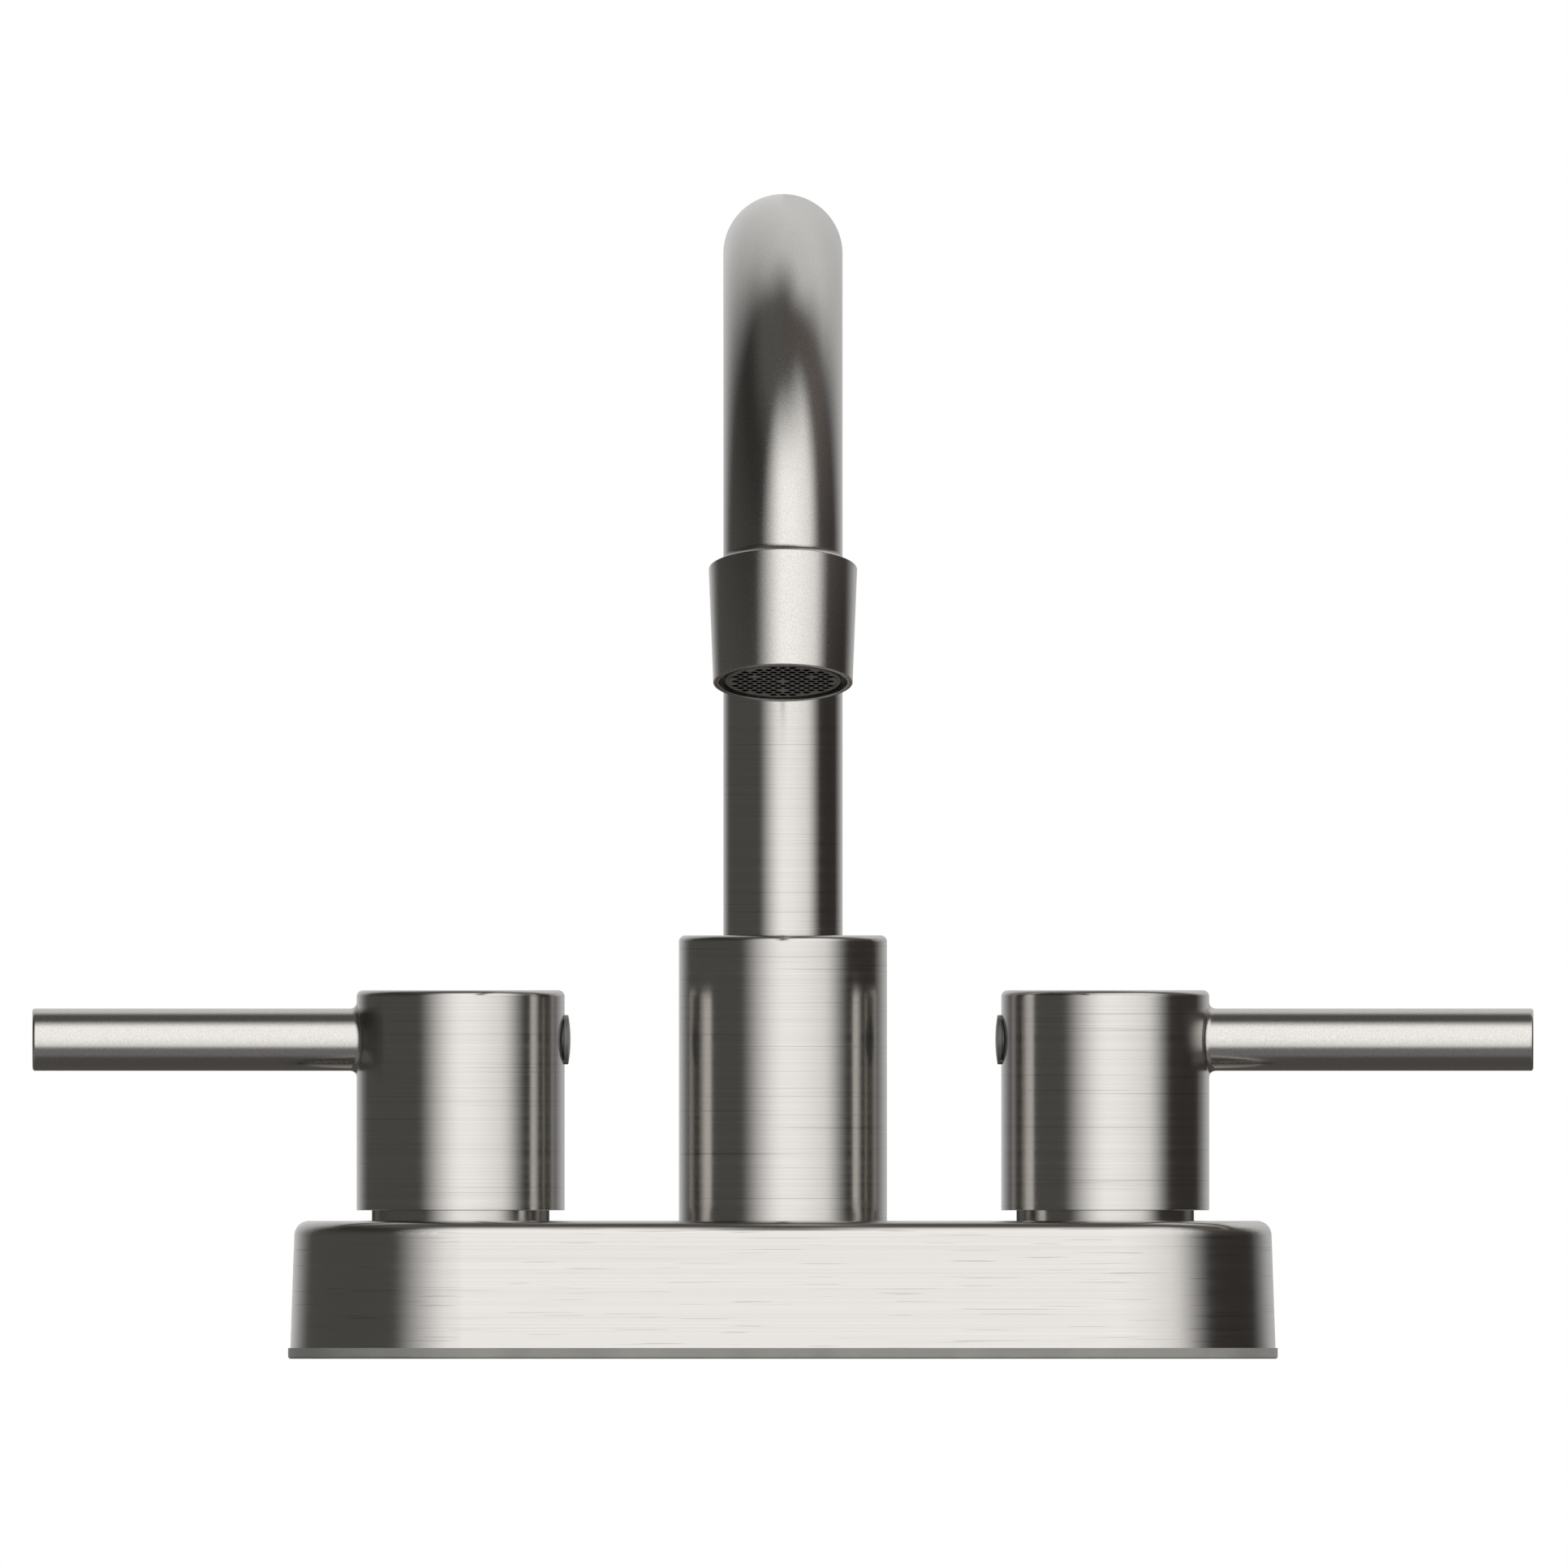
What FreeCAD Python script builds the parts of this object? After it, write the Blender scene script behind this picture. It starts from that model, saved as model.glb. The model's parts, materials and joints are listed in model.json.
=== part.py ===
import FreeCAD, Part
import math
import os

# Centerset bathroom faucet: a drafted stadium-shaped base on a thin deck gasket, two lever handles on
# quarter-turn ceramic valves at four-inch centres, and a tall bent-tube spout that swivels in a plain hub.
# Millimetres, +Z up. The origin is on the deck, under the spout's axis. The user stands at -Y.
# The hot side is at -X. Each piece of the cold side is the mirror image of its hot one.

V = FreeCAD.Vector

# Fits
running_clearance = 0.05      # radial, shafts in bores and pieces that slide into each other
assembly_clearance = 0.2      # radial, barrels in clearance holes
free_clearance = 0.3          # between pieces that move past each other without touching
glide_film = 0.02             # between faces that turn on each other

# Deck gasket
inlet_spacing = 101.6
gasket_thickness = 1.7
gasket_overhang = 0.35
gasket_edge_round = 0.4
gasket_rim_height = 3.0
gasket_rim_thickness = 1.6

# Base cover
cover_end_radius = 26.85      # at the foot; the round ends are centred on the valve axes
cover_height = 20.05
cover_draft = 2.0             # degrees
cover_wall = 2.2
cover_top_wall = 2.4
cover_edge_round = 2.3
cover_hole_boss = 1.8         # radial width of the thickened rim round each hole
cover_hole_boss_depth = 0.8

# Valve bodies
body_recess = 0.6             # the body's foot stands this far above the deck
inlet_bore = 18.6             # half-inch pipe thread, minor diameter
inlet_wall = 3.2
seat_wall = 1.4
seat_hole = 9.0
body_bore = 17.0
body_wall = 3.5
gallery_depth = 1.3           # the water gallery is this much wider than the bore, each side
gallery_rise = 1.5            # gallery floor above the seat
clamp_flange_width = 2.8
clamp_flange_thickness = 2.5
body_upstand = 9.25
body_top_chamfer = 0.6
port_rise = 3.55              # crossover axis above the seat
port_boss_length = 18.0       # from the body's axis to the boss's end

# Crossover tubes
crossover_diameter = 7.0
crossover_wall = 0.8
crossover_insertion = 4.0
port_wall = 0.75

# Trim rings under the handles
trim_wall = 2.0
trim_height = 5.5
trim_chamfer = 0.3
nut_slot_width = 3.0
nut_slot_depth = 1.6

# Ceramic cartridges
seal_thickness = 2.0
seal_lip = 0.5                # the seal stands this far out of the housing
seal_edge_round = 0.3
fixed_disc_thickness = 3.0
moving_disc_thickness = 3.2
disc_port_inner = 2.4         # radius at which the disc ports start
disc_port_outer = 6.0
disc_port_angle = 78.0
disc_lug_width = 3.0
stem_flange_thickness = 2.8
stem_tang_width = 3.0
stem_tang_depth = 1.5
stem_diameter = 8.0
stem_tip_chamfer = 0.5
glide_ring_thickness = 0.8
ring_groove_width = 2.2
ring_groove_depth = 1.3
stem_seal_rise = 4.0          # stem seal above the chamber's roof
housing_seal_rise = 2.0
housing_wall = 1.05
housing_hex_seat = 1.5        # the hexagon's flats stand out this far past the bore
housing_hex_height = 3.0
housing_neck_height = 3.0
stop_height = 2.2
stop_lug_width = 1.05
stop_lug_angle = 180.0
stop_slack = 3.5              # degrees left at each end of the handle's turn
handle_turn = 90.0
clip_thickness = 0.8
clip_lip = 1.25               # the clip stands out this far from the stem
clip_groove_depth = 0.7
spline_teeth = 20
spline_depth = 0.45
spline_margin = 1.2           # between the splines and the grub screw
stem_flat_depth = 0.4

# Handles
handle_gap = 1.65
handle_wall = 1.9
handle_room = 0.5             # between the trim ring and the handle's bore
handle_roof = 3.2
handle_edge_round = 1.0
handle_foot_chamfer = 0.08
handle_boss_wall = 3.0
handle_web_wall = 1.7
lever_diameter = 9.84
lever_reach = 67.5            # from the handle's axis to the lever's tip
lever_rise = 26.9             # lever axis above the handle's lower edge
lever_root_round = 1.0
lever_tip_round = 0.45
lever_margin = 0.88           # straight wall between the lever's root and the top edge
plug_seat_width = 1.4
plug_proud = 0.6
plug_dome = 0.32
plug_seat_depth = 3.2
plug_groove_step = 0.6
plug_groove_width = 1.4
plug_head_sink = 0.1          # the button's head starts this far inside the handle's wall
grub_diameter = 5.0
grub_length = 7.5
grub_hex = 2.5
grub_hex_depth = 2.4
grub_point = 1.0
grub_point_step = 0.9
grub_bevel = 0.4
stem_head = 3.2               # stem's end above the lever's axis

# Spout body, hub and nut
tee_depth = 9.45              # underside of the tee below the crossover axis
tee_floor = 2.5
tee_bore = 14.0
tee_edge_round = 1.0
socket_bore = 16.0
socket_head_room = 3.7        # socket rim below the hub's ceiling
hub_height = 45.0
hub_wall = 1.9
hub_roof = 3.0
hub_edge_round = 1.0
hub_collar_depth = 9.0
nut_height = 5.0
nut_wall = 2.2

# Spout
tube_diameter = 18.8
tube_wall = 1.0
spout_height = 183.6          # top of the bend above the deck
bend_radius = 63.5
outlet_tilt = 15.8            # degrees from the vertical, towards the user
stub_length = 3.6             # straight tube between the bend and the collar
swivel_range = 60.0           # degrees each way
foot_bore = 11.0
foot_floor_gap = 1.0
foot_chamfer = 0.6
foot_flange_thickness = 1.2
foot_spigot_length = 9.0
foot_seal_rise = 3.5          # lower seal above the foot's end
foot_seal_pitch = 5.5
foot_seal_drop = 9.3          # upper seal below the limit groove
washer_thickness = 1.0
limit_groove_depth = 1.6
limit_groove_width = 3.4
limit_groove_drop = 10.0      # groove's centre below the socket rim
dog_diameter = 2.8
retainer_recess = 0.5         # the screw's head below the hub's surface

# Outlet collar and aerator
collar_rim_wall = 2.3
collar_edge_round = 0.3
collar_top_round = 0.12
collar_cove = 1.9             # radius of the cove between the collar's top and the tube
collar_cove_lip = 0.1
collar_insertion = 6.6
collar_step = 1.65
mouth_wall = 1.05
mouth_gap = 0.85              # open ring between the aerator and the collar
mouth_recess_depth = 1.8
aerator_diameter = 18.3
aerator_setback = 0.2
aerator_lip = 1.15
aerator_lip_thickness = 0.6
aerator_edge_round = 0.2
aerator_wall = 0.85
aerator_head = 1.0            # the shell's wall above the screen
lattice_thickness = 1.8
lattice_pitch = 1.49
lattice_web = 0.38
lattice_pad_radius = 5.2
regulator_thickness = 2.4
regulator_skirt = 1.0
regulator_relief = 0.8
regulator_dish = 0.9
regulator_groove = 1.5
regulator_holes = 12
regulator_hole_diameter = 1.0
regulator_hole_circle = 9.6
screen_wall = 0.8
screen_height = 3.0
screen_flange = 1.2
screen_crown_diameter = 7.4
screen_slots = 16
screen_slot_width = 0.7
aerator_seal_thickness = 1.4
aerator_seal_width = 2.0
aerator_seal_round = 0.2

# Diameters and radii that follow
valve_x = -inlet_spacing / 2
body_thread = body_bore / 2 + body_wall
body_foot = inlet_bore / 2 + inlet_wall
cover_hole = body_thread + assembly_clearance
clamp_flange = cover_hole + clamp_flange_width
gallery = body_bore / 2 + gallery_depth
port_boss = crossover_diameter / 2 + running_clearance + port_wall
housing = body_bore / 2 - running_clearance
chamber = housing - housing_wall
rotor = chamber - free_clearance
stem = stem_diameter / 2
spline_tip = stem - running_clearance
spline_root = spline_tip - spline_depth
clip = stem + clip_lip
neck = clip + free_clearance + stop_lug_width
trim = body_thread + trim_wall
handle_bore = trim + handle_room
handle_radius = handle_bore + handle_wall
handle_boss = stem + handle_boss_wall
lever = lever_diameter / 2
grub = grub_diameter / 2
plug_radius = grub + plug_seat_width
stem_flat = spline_root - stem_flat_depth
nut = body_thread + nut_wall
hub_bore = nut + free_clearance
hub = hub_bore + hub_wall
tube = tube_diameter / 2
tube_inner = tube - tube_wall
foot = socket_bore / 2 - running_clearance
aerator = aerator_diameter / 2
cage = aerator - aerator_wall
mouth_recess = aerator + mouth_gap
collar_mouth = mouth_recess + mouth_wall
collar_top = tube + collar_rim_wall

# Heights that follow, base and valves
cover_top = gasket_thickness + cover_height
cover_ceiling = cover_top - cover_top_wall
clamp_top = cover_ceiling - cover_hole_boss_depth
port_height = clamp_top - port_boss - assembly_clearance
seat_top = port_height - port_rise
inlet_floor = seat_top - seat_wall
body_top = cover_top + body_upstand
housing_bottom = seat_top + seal_lip
fixed_disc_bottom = seat_top + seal_thickness
fixed_disc_top = fixed_disc_bottom + fixed_disc_thickness
moving_disc_bottom = fixed_disc_top + glide_film
stem_bottom = moving_disc_bottom + moving_disc_thickness
glide_bottom = stem_bottom + stem_flange_thickness
chamber_roof = glide_bottom + glide_ring_thickness + glide_film
stem_seal_height = chamber_roof + stem_seal_rise
housing_seal_height = chamber_roof + housing_seal_rise
neck_bottom = body_top + housing_hex_height
neck_top = neck_bottom + housing_neck_height
stop_bottom = neck_top + free_clearance
clip_bottom = stop_bottom + stop_height
clip_top = clip_bottom + clip_thickness

# Heights that follow, handles
handle_bottom = cover_top + handle_gap
lever_height = handle_bottom + lever_rise
handle_top = lever_height + lever + lever_root_round + lever_margin + handle_edge_round
handle_ceiling = handle_top - handle_roof
boss_bottom = clip_top + free_clearance
spline_top = lever_height - grub - spline_margin
stem_top = lever_height + stem_head

# Heights that follow, hub and spout foot
hub_top = cover_top + hub_height
hub_ceiling = hub_top - hub_roof
socket_rim = hub_ceiling - socket_head_room
foot_flange_bottom = socket_rim + glide_film + washer_thickness
tube_bottom = foot_flange_bottom + foot_flange_thickness
limit_height = socket_rim - limit_groove_drop
upper_seal = limit_height - foot_seal_drop
lower_seal = upper_seal - foot_seal_pitch
foot_bottom = lower_seal - foot_seal_rise
socket_floor = foot_bottom - foot_floor_gap
tee_bottom = port_height - tee_depth

# Along the outlet's axis, from its face upwards
lip_top = aerator_setback + aerator_lip_thickness
lattice_top = lip_top + lattice_thickness
regulator_top = lattice_top + regulator_thickness
screen_top = regulator_top + screen_height
aerator_top = screen_top + aerator_head
seal_face = aerator_top + aerator_seal_thickness
tube_seat = seal_face + collar_step
collar_length = tube_seat + collar_insertion

# The spout's bend and outlet
bend_height = spout_height - tube - bend_radius
tilt = math.radians(outlet_tilt)
bend_angle = 180.0 - outlet_tilt
outlet_way = V(0, -math.sin(tilt), -math.cos(tilt))
bend_end = V(0, -bend_radius * (1 + math.cos(tilt)), bend_height + bend_radius * math.sin(tilt))
outlet = bend_end + outlet_way * (stub_length + collar_length)


def rounded_wire(corners):
    """Closed wire in the XZ plane through corners (x, z) or (x, z, rounding radius)."""
    count = len(corners)
    points = [V(c[0], 0, c[1]) for c in corners]
    arrivals = []
    departures = []
    arcs = []
    for i, corner in enumerate(corners):
        here = points[i]
        back = (points[i - 1] - here).normalize()
        on = (points[(i + 1) % count] - here).normalize()
        radius = corner[2] if len(corner) > 2 else 0
        if not radius:
            arrivals.append(here)
            departures.append(here)
            arcs.append(None)
            continue
        half = back.getAngle(on) / 2
        reach = radius / math.tan(half)
        middle = here + (back + on).normalize() * (radius / math.sin(half) - radius)
        arrivals.append(here + back * reach)
        departures.append(here + on * reach)
        arcs.append(Part.Arc(arrivals[i], middle, departures[i]).toShape())
    edges = []
    for i in range(count):
        if arcs[i]:
            edges.append(arcs[i])
        start, end = departures[i], arrivals[(i + 1) % count]
        if start.distanceToPoint(end) > 1e-6:
            edges.append(Part.LineSegment(start, end).toShape())
    return Part.Wire(Part.__sortEdges__(edges))


def outward(solid):
    """The solid with its faces turned outwards."""
    if solid.Volume < 0:
        solid.reverse()
    return solid


def turned(corners, angle=360.0, start=0.0):
    """Solid turned about Z from a profile of (radius, z) corners, from the start angle on."""
    solid = outward(Part.Face(rounded_wire(corners)).revolve(V(0, 0, 0), V(0, 0, 1), angle))
    solid.rotate(V(0, 0, 0), V(0, 0, 1), start)
    return solid


def sleeve(outer, inner, low, high):
    """Plain tube or, with no inner radius, a plain cylinder about Z."""
    return turned([(inner, low), (outer, low), (outer, high), (inner, high)])


def prism(corners, low, high):
    """Upright prism on a polygon of (x, y) corners."""
    points = [V(x, y, low) for x, y in corners]
    face = Part.Face(Part.makePolygon(points + points[:1]))
    return outward(face.extrude(V(0, 0, high - low)))


def hexagon(across_flats, low, high, turn=0.0):
    corner = across_flats / math.sqrt(3)
    angles = [math.radians(turn + 60 * i) for i in range(6)]
    return prism([(corner * math.cos(a), corner * math.sin(a)) for a in angles], low, high)


def block(centre_x, centre_y, size_x, size_y, low, high):
    corner = V(centre_x - size_x / 2, centre_y - size_y / 2, low)
    return Part.makeBox(size_x, size_y, high - low, corner)


def splined(tip, low, high):
    """Splined shaft about Z: straight-sided teeth between the root and tip radii."""
    root = tip - spline_depth
    pitch = 360.0 / spline_teeth
    corners = []
    for i in range(spline_teeth):
        for radius, share in ((root, 0.0), (root, 0.3), (tip, 0.5), (tip, 0.8)):
            angle = math.radians(pitch * (i + share))
            corners.append((radius * math.cos(angle), radius * math.sin(angle)))
    return prism(corners, low, high)


def laid(solid, direction, at):
    """The solid with its Z axis turned to a direction and its origin moved to a point."""
    turn = FreeCAD.Rotation(V(0, 0, 1), direction)
    return solid.transformShape(FreeCAD.Placement(at, turn).toMatrix(), True)


def stadium(end_radius, low, high, draft=0.0):
    """Solid with half-round ends about the two valve axes, narrowing upwards by the draft."""
    top_radius = end_radius - (high - low) * math.tan(math.radians(draft))
    ends = []
    for x in (valve_x, -valve_x):
        if draft:
            ends.append(Part.makeCone(end_radius, top_radius, high - low, V(x, 0, low)))
        else:
            ends.append(Part.makeCylinder(end_radius, high - low, V(x, 0, low)))
    outline = [(-end_radius, low), (end_radius, low), (top_radius, high), (-top_radius, high)]
    points = [V(valve_x, y, z) for y, z in outline]
    side = Part.Face(Part.makePolygon(points + points[:1]))
    middle = outward(side.extrude(V(inlet_spacing, 0, 0)))
    return middle.fuse(ends).removeSplitter()


def edges_at_height(solid, z):
    return [e for e in solid.Edges if all(abs(v.Z - z) < 1e-5 for v in e.Vertexes)
            and abs(e.CenterOfMass.z - z) < 1e-5]


def base_gasket():
    plate = stadium(cover_end_radius + gasket_overhang, 0, gasket_thickness)
    plate = plate.makeFillet(gasket_edge_round, edges_at_height(plate, 0))
    rim_shrink = gasket_rim_height * math.tan(math.radians(cover_draft))
    rim_outer = cover_end_radius - cover_wall - rim_shrink - assembly_clearance
    rim_top = gasket_thickness + gasket_rim_height
    rim = stadium(rim_outer, gasket_thickness, rim_top)
    rim = rim.cut(stadium(rim_outer - gasket_rim_thickness, gasket_thickness, rim_top))
    plate = plate.fuse(rim)
    body_hole = body_foot + assembly_clearance
    for x in (valve_x, -valve_x):
        plate = plate.cut(Part.makeCylinder(body_hole, gasket_thickness, V(x, 0, 0)))
    return plate.removeSplitter()


def base_cover():
    shell = stadium(cover_end_radius, gasket_thickness, cover_top, cover_draft)
    shell = shell.makeFillet(cover_edge_round, edges_at_height(shell, cover_top))
    cavity = stadium(cover_end_radius - cover_wall, gasket_thickness, cover_ceiling, cover_draft)
    axes = (valve_x, 0, -valve_x)
    for x in axes:
        rim = Part.makeCylinder(cover_hole + cover_hole_boss, cover_hole_boss_depth,
                                V(x, 0, clamp_top))
        cavity = cavity.cut(rim)
    shell = shell.cut(cavity)
    for x in axes:
        shell = shell.cut(Part.makeCylinder(cover_hole, cover_height, V(x, 0, gasket_thickness)))
    return shell


def port_bores(direction, start):
    """What a crossover port removes: the tube's socket and the smaller waterway behind it."""
    socket = crossover_diameter / 2 + running_clearance
    waterway = crossover_diameter / 2 - crossover_wall
    floor = port_boss_length - crossover_insertion
    bores = sleeve(socket, 0, floor, port_boss_length).fuse(sleeve(waterway, 0, start, floor))
    return laid(bores, direction, V(0, 0, port_height))


def port(direction):
    """Solid boss for a crossover tube, from a body's axis outwards."""
    return laid(sleeve(port_boss, 0, 0, port_boss_length), direction, V(0, 0, port_height))


def clamped_barrel(bottom, top, corner_round=0.0):
    """Solid barrel with a flange under the cover's ceiling and a threaded top."""
    flange_bottom = clamp_top - clamp_flange_thickness
    return turned([
        (0, bottom), (body_foot, bottom, corner_round), (body_foot, flange_bottom),
        (clamp_flange, flange_bottom), (clamp_flange, clamp_top), (body_thread, clamp_top),
        (body_thread, top - body_top_chamfer), (body_thread - body_top_chamfer, top), (0, top)])


def valve_body():
    body = clamped_barrel(body_recess, body_top).fuse(port(V(1, 0, 0))).removeSplitter()
    bore = body_bore / 2
    gallery_floor = seat_top + gallery_rise
    inside = turned([
        (0, body_recess), (inlet_bore / 2, body_recess), (inlet_bore / 2, inlet_floor),
        (seat_hole / 2, inlet_floor), (seat_hole / 2, seat_top), (bore, seat_top),
        (bore, gallery_floor), (gallery, gallery_floor), (gallery, cover_ceiling),
        (bore, cover_ceiling), (bore, body_top), (0, body_top)])
    return body.cut(inside).cut(port_bores(V(1, 0, 0), (bore + gallery) / 2))


def slotted_ring(outer, low, high):
    """Round nut on the body thread, with four spanner slots in its upper face."""
    inner = body_thread + running_clearance
    ring = turned([(inner, low), (outer, low), (outer, high - trim_chamfer),
                   (outer - trim_chamfer, high), (inner, high)])
    for turn in (0, 90):
        slot = block(0, 0, 3 * outer, nut_slot_width, high - nut_slot_depth, high)
        slot.rotate(V(0, 0, 0), V(0, 0, 1), turn)
        ring = ring.cut(slot)
    return ring


def seat_seal():
    outer = chamber - running_clearance
    inner = seat_hole / 2
    return turned([(inner, seat_top), (outer, seat_top), (outer, fixed_disc_bottom, seal_edge_round),
                   (inner, fixed_disc_bottom, seal_edge_round)])


def disc_ports(inner, outer, low, high, start):
    """Two opposite sectors, the ports of a ceramic disc."""
    corners = [(inner, low), (outer, low), (outer, high), (inner, high)]
    first = turned(corners, disc_port_angle, start - disc_port_angle / 2)
    second = turned(corners, disc_port_angle, start + 180 - disc_port_angle / 2)
    return first.fuse(second)


def fixed_disc():
    low, high = fixed_disc_bottom, fixed_disc_top
    disc = sleeve(chamber - running_clearance, 0, low, high)
    lug_reach = housing - running_clearance
    lugs = block(0, 0, disc_lug_width, 2 * lug_reach, low, high).common(sleeve(lug_reach, 0, low, high))
    disc = disc.fuse(lugs).removeSplitter()
    return disc.cut(disc_ports(disc_port_inner, disc_port_outer, low, high, 0))


port_roof = stem_bottom - stem_tang_depth - free_clearance


def moving_disc():
    disc = sleeve(rotor, 0, moving_disc_bottom, stem_bottom)
    ports = disc_ports(disc_port_inner, rotor + 1, moving_disc_bottom, port_roof, 90)
    slot = block(0, 0, 2 * rotor, stem_tang_width, stem_bottom - stem_tang_depth, stem_bottom)
    return disc.cut(ports).cut(slot)


def ring_seal(floor, centre):
    """Seal ring squeezed into its groove, with rounded corners, from the groove's floor out."""
    half = ring_groove_width / 2 - running_clearance
    corner = 0.4 * ring_groove_depth
    rim = floor + ring_groove_depth
    low, high = centre - half, centre + half
    return turned([(floor, low, corner), (rim, low, corner), (rim, high, corner),
                   (floor, high, corner)])


def seal_groove(floor, rim, centre):
    half = ring_groove_width / 2
    return sleeve(rim, floor, centre - half, centre + half)


def cartridge_housing():
    shaft = stem + running_clearance
    body = sleeve(housing, shaft, housing_bottom, body_top)
    body = body.fuse(hexagon(body_bore + 2 * housing_hex_seat, body_top, neck_bottom))
    body = body.fuse(sleeve(neck, shaft, neck_bottom, neck_top))
    # The stop lug fills what the washer's lug and the handle's turn leave of the circle.
    lug_angle = 360.0 - stop_lug_angle - handle_turn - 2 * stop_slack
    lug_start = stop_lug_angle / 2 + handle_turn + stop_slack
    lug_inner = clip + free_clearance
    body = body.fuse(turned([(lug_inner, neck_top), (neck, neck_top), (neck, clip_bottom),
                             (lug_inner, clip_bottom)], lug_angle, lug_start))
    body = body.cut(sleeve(shaft, 0, housing_bottom, clip_bottom))
    body = body.cut(sleeve(chamber, 0, housing_bottom, chamber_roof))
    body = body.cut(seal_groove(body_bore / 2 - ring_groove_depth, housing + 1, housing_seal_height))
    lug_slot = disc_lug_width + 2 * running_clearance
    body = body.cut(block(0, 0, lug_slot, 2 * housing + 1, housing_bottom, fixed_disc_top))
    window = block(0, 0, 2 * housing + 1, disc_port_outer, moving_disc_bottom, port_roof)
    return body.cut(window).removeSplitter()


def valve_stem():
    shaft = turned([(0, stem_bottom), (rotor, stem_bottom), (rotor, glide_bottom),
                    (stem, glide_bottom), (stem, stop_bottom), (0, stop_bottom)])
    tang_bottom = stem_bottom - stem_tang_depth + running_clearance
    tang = block(0, 0, 2 * rotor, stem_tang_width - 2 * running_clearance, tang_bottom, stem_bottom)
    tang = tang.common(sleeve(rotor, 0, tang_bottom, stem_bottom))
    head = turned([(0, spline_top), (spline_root, spline_top), (spline_root, stem_top - stem_tip_chamfer),
                   (spline_root - stem_tip_chamfer, stem_top), (0, stem_top)])
    shaft = shaft.fuse([tang, splined(spline_tip, stop_bottom, spline_top), head])
    shaft = shaft.cut(seal_groove(stem - ring_groove_depth, stem + 1, stem_seal_height))
    shaft = shaft.cut(sleeve(stem + 1, spline_tip - clip_groove_depth, clip_bottom, clip_top))
    flat = block(2 * stem_flat, 0, 2 * stem_flat, stem_diameter, spline_top, stem_top)
    return shaft.cut(flat).removeSplitter()


def stem_glide_ring():
    return sleeve(rotor, stem + running_clearance, glide_bottom, chamber_roof - glide_film)


def stop_washer():
    washer = sleeve(clip, 0, stop_bottom, clip_bottom)
    lug = turned([(stem, stop_bottom), (neck, stop_bottom), (neck, clip_bottom), (stem, clip_bottom)],
                 stop_lug_angle, -stop_lug_angle / 2)
    washer = washer.fuse(lug).removeSplitter()
    return washer.cut(splined(stem, stop_bottom, clip_bottom))


def stem_clip():
    floor = spline_tip - clip_groove_depth + running_clearance
    ring = sleeve(clip, floor, clip_bottom, clip_top)
    return ring.cut(block(-clip, 0, 2 * clip, 1.4 * floor, clip_bottom, clip_top))


def grub_screw(length, point_radius, point_length):
    """Headless screw about Z: the point at 0, the hexagon socket in the far end."""
    screw = turned([(0, 0), (point_radius, 0), (point_radius, point_length),
                    (grub - grub_bevel, point_length), (grub, point_length + grub_bevel),
                    (grub, length - grub_bevel), (grub - grub_bevel, length), (0, length)])
    return screw.cut(hexagon(grub_hex, length - grub_hex_depth, length))


def on_lever_root(edge):
    """True for the curve in which the lever meets the handle's round wall."""
    points = edge.discretize(7)
    on_wall = all(abs(math.hypot(p.x, p.y) - handle_radius) < 1e-3 for p in points)
    on_bar = all(abs(math.hypot(p.y, p.z - lever_height) - lever) < 1e-3 for p in points)
    return on_wall and on_bar


def handle():
    cup = turned([(0, handle_bottom), (handle_radius - handle_foot_chamfer, handle_bottom),
                  (handle_radius, handle_bottom + handle_foot_chamfer),
                  (handle_radius, handle_top, handle_edge_round), (0, handle_top)])
    bar = turned([(0, 0), (lever, 0), (lever, lever_reach, lever_tip_round), (0, lever_reach)])
    casting = cup.fuse(laid(bar, V(-1, 0, 0), V(0, 0, lever_height))).removeSplitter()
    root = [e for e in casting.Edges if on_lever_root(e)]
    casting = casting.makeFillet(lever_root_round, root)
    cavity = sleeve(handle_bore, 0, handle_bottom, handle_ceiling)
    boss = sleeve(handle_boss, 0, boss_bottom, handle_ceiling)
    web_half = grub + handle_web_wall
    web = block(handle_bore / 2, 0, handle_bore, 2 * web_half, lever_height - web_half, handle_ceiling)
    casting = casting.cut(cavity.cut(boss.fuse(web)))
    socket_plain = sleeve(spline_root + running_clearance, 0, spline_top, stem_top + free_clearance)
    casting = casting.cut(splined(stem, boss_bottom, spline_top).fuse(socket_plain))
    plug_floor = handle_radius - plug_seat_depth
    bores = sleeve(grub, 0, 0, plug_floor)
    bores = bores.fuse(sleeve(plug_radius + running_clearance, 0, plug_floor, handle_radius + 1))
    return casting.cut(laid(bores, V(1, 0, 0), V(0, 0, lever_height)))


def handle_plug():
    rim = plug_seat_depth + plug_proud
    dome_radius = (plug_radius ** 2 + plug_dome ** 2) / (2 * plug_dome)
    ball = Part.makeSphere(dome_radius, V(0, 0, rim + plug_dome - dome_radius))
    plug = sleeve(plug_radius, 0, 0, rim + plug_dome).common(ball)
    groove_top = plug_seat_depth - plug_head_sink
    groove = sleeve(plug_radius + 1, plug_radius - plug_groove_step, groove_top - plug_groove_width, groove_top)
    plug = plug.cut(groove)
    return laid(plug, V(1, 0, 0), V(handle_radius - plug_seat_depth, 0, lever_height))


def handle_set_screw():
    screw = grub_screw(grub_length, grub - grub_point_step, grub_point)
    return laid(screw, V(1, 0, 0), V(stem_flat, 0, lever_height))


def crossover_tube():
    start = port_boss_length - crossover_insertion
    outer = crossover_diameter / 2
    pipe = sleeve(outer, outer - crossover_wall, 0, inlet_spacing / 2 - 2 * start)
    return laid(pipe, V(1, 0, 0), V(valve_x + start, 0, port_height))


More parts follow.
